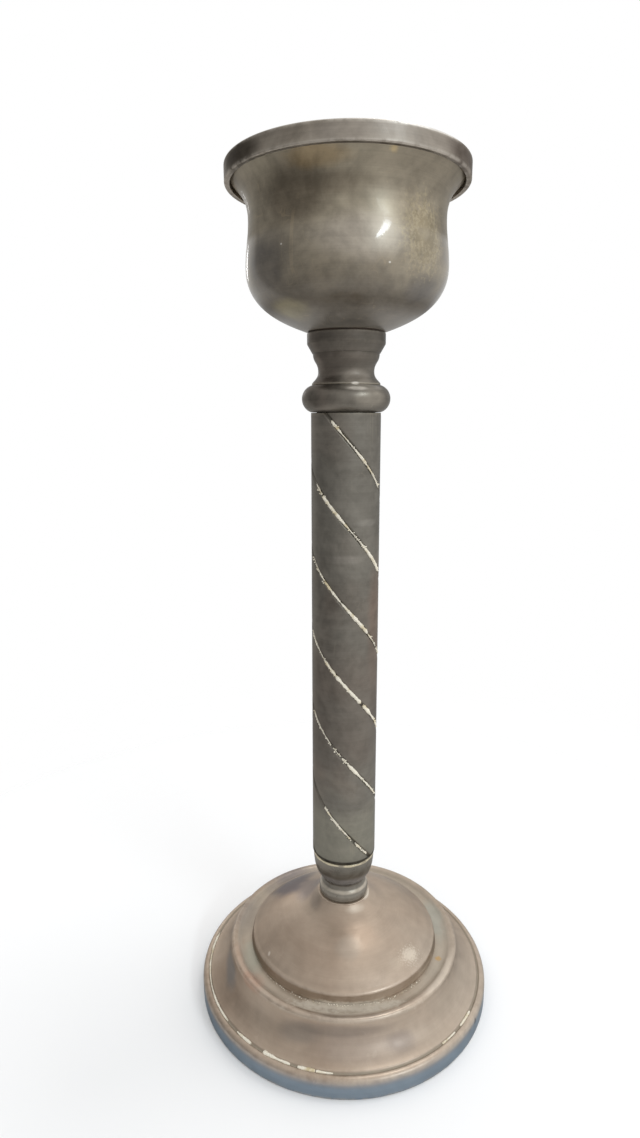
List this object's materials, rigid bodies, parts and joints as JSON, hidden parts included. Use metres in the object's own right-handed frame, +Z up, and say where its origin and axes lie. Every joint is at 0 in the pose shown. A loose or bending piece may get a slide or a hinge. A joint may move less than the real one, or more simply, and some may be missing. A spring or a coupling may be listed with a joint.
{
  "type": "candlestick",
  "caption": "Tall turned brass candlestick with a stepped domed foot, a spiral-grooved column, a waisted neck and a bowl cup with a flat rim band.",
  "frame": {"origin": "centre of the underside of the foot, on the table", "axes": "+Z up along the column, -Y towards the front as pictured, +X to the right"},
  "size_m": [0.1142, 0.1142, 0.305],
  "materials": {
    "base_brass": "tarnished satin",
    "stem_brass": "dull tarnished",
    "cup_brass": "tarnished, half gloss",
    "fixing_steel": "dull zinc",
    "seat_leather": "worn"
  },
  "bodies": {
    "base": {"foot_shell": "base_brass", "base_dome": "base_brass", "lower_knop": "stem_brass", "column_ring": "stem_brass", "cup_neck": "stem_brass", "tie_rod": "fixing_steel", "base_disc": "fixing_steel", "base_washer": "fixing_steel", "lock_washer": "fixing_steel", "base_nut": "fixing_steel"},
    "column": {"column_tube": "stem_brass"},
    "cup_seat": {"cup_washer": "seat_leather"},
    "cup": {"cup_bowl": "cup_brass", "rim_band": "cup_brass", "cup_bush": "cup_brass"}
  },
  "joints": [
    {"name": "column_turn", "type": "hinge", "parent": "base", "child": "column", "pos_m": [0, 0, 0.0578], "axis": [0, 0, 1], "continuous": true},
    {"name": "cup_lift", "type": "slide", "parent": "base", "child": "cup_seat", "axis": [0, 0, 1], "range_m": [0, 0.0075]},
    {"name": "cup_turn", "type": "hinge", "parent": "cup_seat", "child": "cup", "pos_m": [0, 0, 0.254], "axis": [0, 0, 1], "range_deg": [0, 2160]}
  ],
  "couplings": [
    {"joint": "cup_lift", "follows": "cup_turn", "m_per_rad": 0.00019894}
  ]
}
